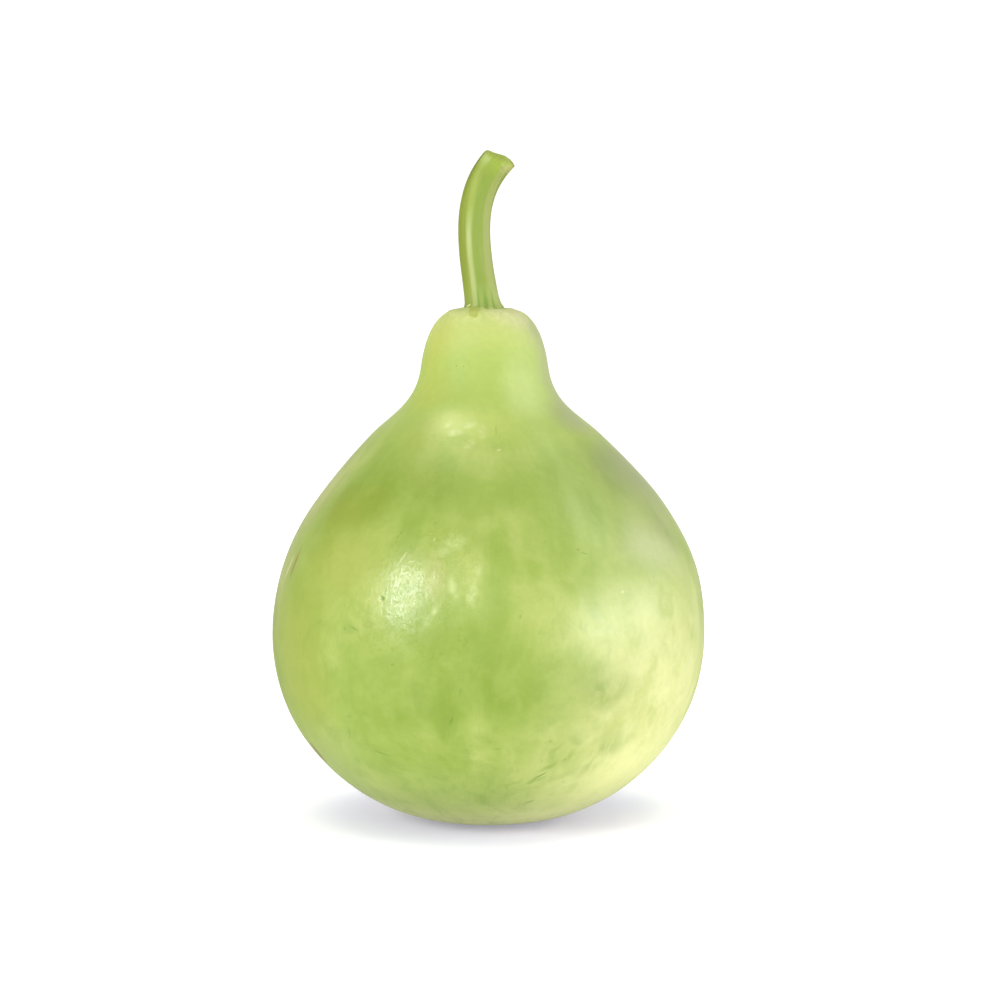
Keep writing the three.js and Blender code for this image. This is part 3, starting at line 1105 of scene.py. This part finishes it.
SIDE_OLIVE = colour("#8f9e3a")
SIDE_OLIVE_DEEP = colour("#86962f")
FRONT_GREEN = colour("#889e3c")
RIB_HIGHLIGHT = colour("#b7c37c")
WIDE_RIB_HIGHLIGHT = colour("#b3c662")
RIGHT_BEIGE = colour("#96a250")
OUTLINE_SHADE_OLIVE = colour("#75841a")
TIP_GREEN = colour("#96ac32")
FOOT_GREEN = colour("#76992c")
FOOT_PALE = colour("#a0b25c")
TIP_HIGHLIGHT_PALE = colour("#b6c67a")
TIP_BEIGE = colour("#babb76")
CUT_GREEN = colour("#98aa3c")
PITH_PALE = colour("#aebc5c")
LIP_BROWN = colour("#8a7f2c")

# Patterns drawn out along the stalk, from noise on a tube of radius 1.
TUBE_LENGTH = 0.5
BARK_STRIPES = dict(size=0.28, detail=4, roughness=0.6)
THREADS = dict(size=0.07, detail=2)

# A sliver of pale bark is torn at the left of the foot.
TORN_PLACE = np.array([-7, -3.5, 181.05]) * MM
TORN_SIZE = np.array([0.75, 3, 0.28]) * MM
TORN_SLOPE = 0.65


def torn_sliver(nodes):
    """1 on the sliver, 0 off it."""
    away = nodes.vector("SUBTRACT", nodes.place(), tuple(TORN_PLACE))
    sheared = nodes.point(Z=nodes.product(nodes.parts(away)["X"], -TORN_SLOPE))
    scaled = nodes.vector("DIVIDE", nodes.vector("ADD", away, sheared), tuple(TORN_SIZE))
    return nodes.fade(nodes.vector("LENGTH", scaled), 1.1, 0.7)


def stalk_material():
    nodes = Nodes(bpy.data.materials.new("stalk_skin"))
    rib = nodes.attribute("rib")
    along = nodes.attribute("along")
    cut = nodes.attribute("cut")
    tip = nodes.attribute("tip")
    around = nodes.product(nodes.attribute("turn"), 2 * math.pi)
    cosine = nodes.math("COSINE", around)
    sine = nodes.math("SINE", around)
    lengthwise = nodes.point(X=cosine, Y=sine, Z=nodes.product(along, TUBE_LENGTH))
    stripes = nodes.noise(lengthwise, **BARK_STRIPES)
    threads = nodes.noise(lengthwise, **THREADS)
    ragged = nodes.total(cosine, nodes.fade(stripes, 0.3, 0.7, -0.15, 0.15))

    skin = nodes.mix(nodes.fade(stripes, 0.4, 0.62), SIDE_OLIVE_DEEP, SIDE_OLIVE)
    skin = nodes.tint(skin, FRONT_GREEN, nodes.fade(ragged, -0.5, -0.25))
    skin = nodes.tint(skin, TIP_GREEN, nodes.fade(along, 0.78, 0.95, 0, 0.7))
    skin = nodes.tint(skin, RIGHT_BEIGE, nodes.fade(ragged, 0.25, 0.6))

    # Painted highlight: the front rib is painted pale in a thin line low down, and in a wider, duller one
    # above.
    on_left = nodes.fade(cosine, 0.0, -0.2)
    wide_rib_highlight = nodes.product(nodes.fade(rib, 0.1, 0.8), nodes.fade(along, 0.92, 0.75), on_left)
    skin = nodes.tint(skin, WIDE_RIB_HIGHLIGHT, wide_rib_highlight, nodes.fade(along, 0.46, 0.6, 0, 0.35))
    rib_highlight = nodes.product(nodes.fade(rib, 0.42, 0.9), nodes.fade(along, 0.66, 0.46), on_left)
    skin = nodes.tint(skin, RIB_HIGHLIGHT, rib_highlight, nodes.fade(along, 0.35, 0.45, 0.75, 0.9))

    # Painted shade: a thin dark line on the stalk's left and right sides, where they meet the outline seen
    # from the front.
    to_side = nodes.math("ABSOLUTE", cosine)
    skin = nodes.tint(skin, OUTLINE_SHADE_OLIVE, nodes.fade(to_side, 0.9, 1.0, 0, 0.8))
    low_down = nodes.fade(along, 0.24, 0.11)
    skin = nodes.tint(skin, FOOT_PALE, low_down, nodes.fade(ragged, -0.3, 0.0, 0.3, 0.6))
    grooved = nodes.product(nodes.fade(along, 0.2, 0.1), nodes.fade(nodes.attribute("flute"), 0.1, 0.8))
    skin = nodes.tint(skin, FOOT_GREEN, grooved, nodes.fade(threads, 0.3, 0.6, 0.45, 0.85))
    skin = nodes.tint(skin, TIP_BEIGE, nodes.fade(ragged, 0.1, 0.7, 0, 0.6), tip)
    # Painted highlight: a pale patch at the front left of the tip.
    tip_highlight = nodes.product(nodes.fade(ragged, -0.3, -0.6), nodes.fade(sine, -0.15, -0.5))
    skin = nodes.tint(skin, TIP_HIGHLIGHT_PALE, tip_highlight, tip, 0.7)

    face = nodes.mix(nodes.fade(nodes.attribute("core"), 0.75, 0.35), CUT_GREEN, PITH_PALE)
    skin = nodes.tint(skin, face, cut)
    skin = nodes.tint(skin, SCAR_CREAM, torn_sliver(nodes), 0.85)
    # The lip at the far right of the cut has dried.
    lip = nodes.product(nodes.fade(along, 0.93, 0.96), nodes.fade(cosine, 0.93, 0.99))
    skin = nodes.tint(skin, LIP_BROWN, lip, 0.7)

    shiny = nodes.product(nodes.fade(rib, 0.6, 0.95), nodes.fade(along, 0.62, 0.46, 0.15, 1))
    return skin_material(
        nodes,
        skin,
        roughness=nodes.fade(shiny, 0, 1, 0.6, 0.42),
        ior=1.35,
        relief=nodes.product(threads, nodes.fade(cut, 0.3, 0.0)),
        relief_depth=0.12 * MM,
        relief_strength=0.5,
        light_depth=2 * MM,
    )


# -------- stage and light

WHITE = (1, 1, 1)
WARM = (1, 0.9, 0.82)
YELLOWISH = (1, 1, 0.75)

# Round the fruit the floor is a little violet, which takes the fruit's green out of its shadow.
FLOOR_RADIUS = 12000 * MM
FLOOR_SIDES = 96
FLOOR_NEAR = (0.86, 0.81, 0.98, 1)
FLOOR_FAR = (0.95, 0.94, 0.95, 1)
FLOOR_GLOW = (0.2, 0.38)
FLOOR_GLOW_NEAR = (0.95, 0.93, 1.42, 1)
FLOOR_GLOW_FAR = (1, 1, 1, 1)
SHADOW_CENTRE = (0, 7.5 * MM, 0)
SHADOW_SHAPE = (1.12, 1, 1)
SHADOW_SPAN = (45 * MM, 92 * MM)

# The room's strength as light, as seen, and in reflections, from just above level to below it.
ROOM_LIGHT = 0.8
ROOM_SEEN = 1.1
ROOM_REFLECTED = 0.26
ROOM_REFLECTED_LOW = 0.64
ROOM_HORIZON = (0.02, -0.12)

LIGHT_AIM = Vector((0, 0, 90 * MM))
# Name, shape, degrees to the right of the camera, degrees up, distance, width and height in metres,
# power in watts, whether it lights the surfaces or only shines on them, and colour.
SOFTBOXES = (
    ("left_key", "RECTANGLE", -46, 21, 1.3, 0.34, 0.46, 5.4, True, WHITE),
    ("left_core", "ELLIPSE", -44.5, 20, 1.3, 0.35, 0.48, 9.4, False, WHITE),
    ("left_window", "RECTANGLE", -9, 21, 1.3, 0.66, 0.68, 4, False, WHITE),
    ("right_fill", "RECTANGLE", 75, 15, 1.3, 0.8, 0.6, 5, True, WHITE),
    ("right_panel", "RECTANGLE", 72, 6, 1.3, 0.9, 0.38, 6.5, False, WHITE),
    ("right_lobe", "ELLIPSE", 57, 2.6, 1.3, 0.42, 0.22, 8.2, False, WHITE),
    ("side_lobe", "ELLIPSE", 96, 6, 1.3, 0.24, 0.38, 2.2, False, WHITE),
    ("side_panel", "RECTANGLE", 112, 20, 1.3, 0.5, 0.6, 2.1, False, WHITE),
    ("neck_panel", "RECTANGLE", 84, 45, 1.3, 0.34, 0.5, 4.4, False, WHITE),
    ("neck_upper", "RECTANGLE", 118, 58, 1.3, 0.45, 0.4, 1.7, False, WHITE),
    ("overhead", "ELLIPSE", -129, 69, 1.3, 0.36, 0.26, 5.9, False, YELLOWISH),
    ("backdrop", "RECTANGLE", 180, 13, 1.6, 2.7, 0.95, 5, False, WARM),
)


def make_stage():
    nodes = Nodes(bpy.data.materials.new("white_floor"))
    away = nodes.vector("SUBTRACT", nodes.place(), SHADOW_CENTRE)
    away = nodes.vector("MULTIPLY", away, SHADOW_SHAPE)
    far_off = nodes.fade(nodes.vector("LENGTH", away), *SHADOW_SPAN)
    floor_colour = nodes.mix(far_off, FLOOR_NEAR, FLOOR_FAR)
    glow_colour = nodes.mix(far_off, FLOOR_GLOW_NEAR, FLOOR_GLOW_FAR)
    # The floor glows, but less round the fruit, which paints a soft shadow there.
    glow_strength = nodes.fade(far_off, 0, 1, *FLOOR_GLOW)
    white = nodes.add("ShaderNodeBsdfDiffuse", {"Color": floor_colour})
    glow = nodes.add("ShaderNodeEmission", {"Color": glow_colour, "Strength": glow_strength})
    material = nodes.finish(nodes.add("ShaderNodeAddShader", {0: white.outputs[0], 1: glow.outputs[0]}))
    bpy.ops.mesh.primitive_circle_add(vertices=FLOOR_SIDES, radius=FLOOR_RADIUS, fill_type="NGON")
    floor = bpy.context.object
    floor.name = "floor"
    floor.data.materials.append(material)
    floor.visible_glossy = False


def make_softbox(name, shape, azimuth, elevation, distance, width, height, power, lights, light_colour):
    """A soft flat lamp that faces the fruit."""
    turn, rise = math.radians(azimuth), math.radians(elevation)
    away = Vector((math.sin(turn) * math.cos(rise), -math.cos(turn) * math.cos(rise), math.sin(rise)))
    data = bpy.data.lights.new(name, "AREA")
    data.shape = shape
    data.size = width
    data.size_y = height
    data.energy = power
    data.color = light_colour
    lamp = bpy.data.objects.new(name, data)
    lamp.location = LIGHT_AIM + away * distance
    lamp.rotation_euler = (-away).to_track_quat("-Z", "Y").to_euler()
    lamp.visible_camera = False
    lamp.visible_diffuse = lights
    bpy.context.scene.collection.objects.link(lamp)


def make_light():
    world = bpy.data.worlds.new("white_room")
    nodes = Nodes(world)
    rays = nodes.add("ShaderNodeLightPath").outputs
    way = nodes.add("ShaderNodeTexCoord").outputs["Generated"]
    reflected = nodes.fade(
        nodes.parts(way)["Z"], *ROOM_HORIZON, ROOM_REFLECTED, ROOM_REFLECTED_LOW, kind="LINEAR"
    )
    unseen = nodes.fade(rays["Is Glossy Ray"], 0, 1, ROOM_LIGHT, reflected, kind="LINEAR")
    strength = nodes.fade(rays["Is Camera Ray"], 0, 1, unseen, ROOM_SEEN, kind="LINEAR")
    background = nodes.add("ShaderNodeBackground", {"Color": (*WHITE, 1), "Strength": strength})
    nodes.finish(background, output="ShaderNodeOutputWorld")
    bpy.context.scene.world = world
    bpy.context.scene.view_settings.view_transform = "Standard"
    for softbox in SOFTBOXES:
        make_softbox(*softbox)


# -------- the scene

make_camera()
add_piece("gourd_fruit", make_fruit_mesh(), gourd_material(), "gourd")
add_piece("gourd_stalk", make_stalk_mesh(), stalk_material(), "stalk")
make_stage()
make_light()
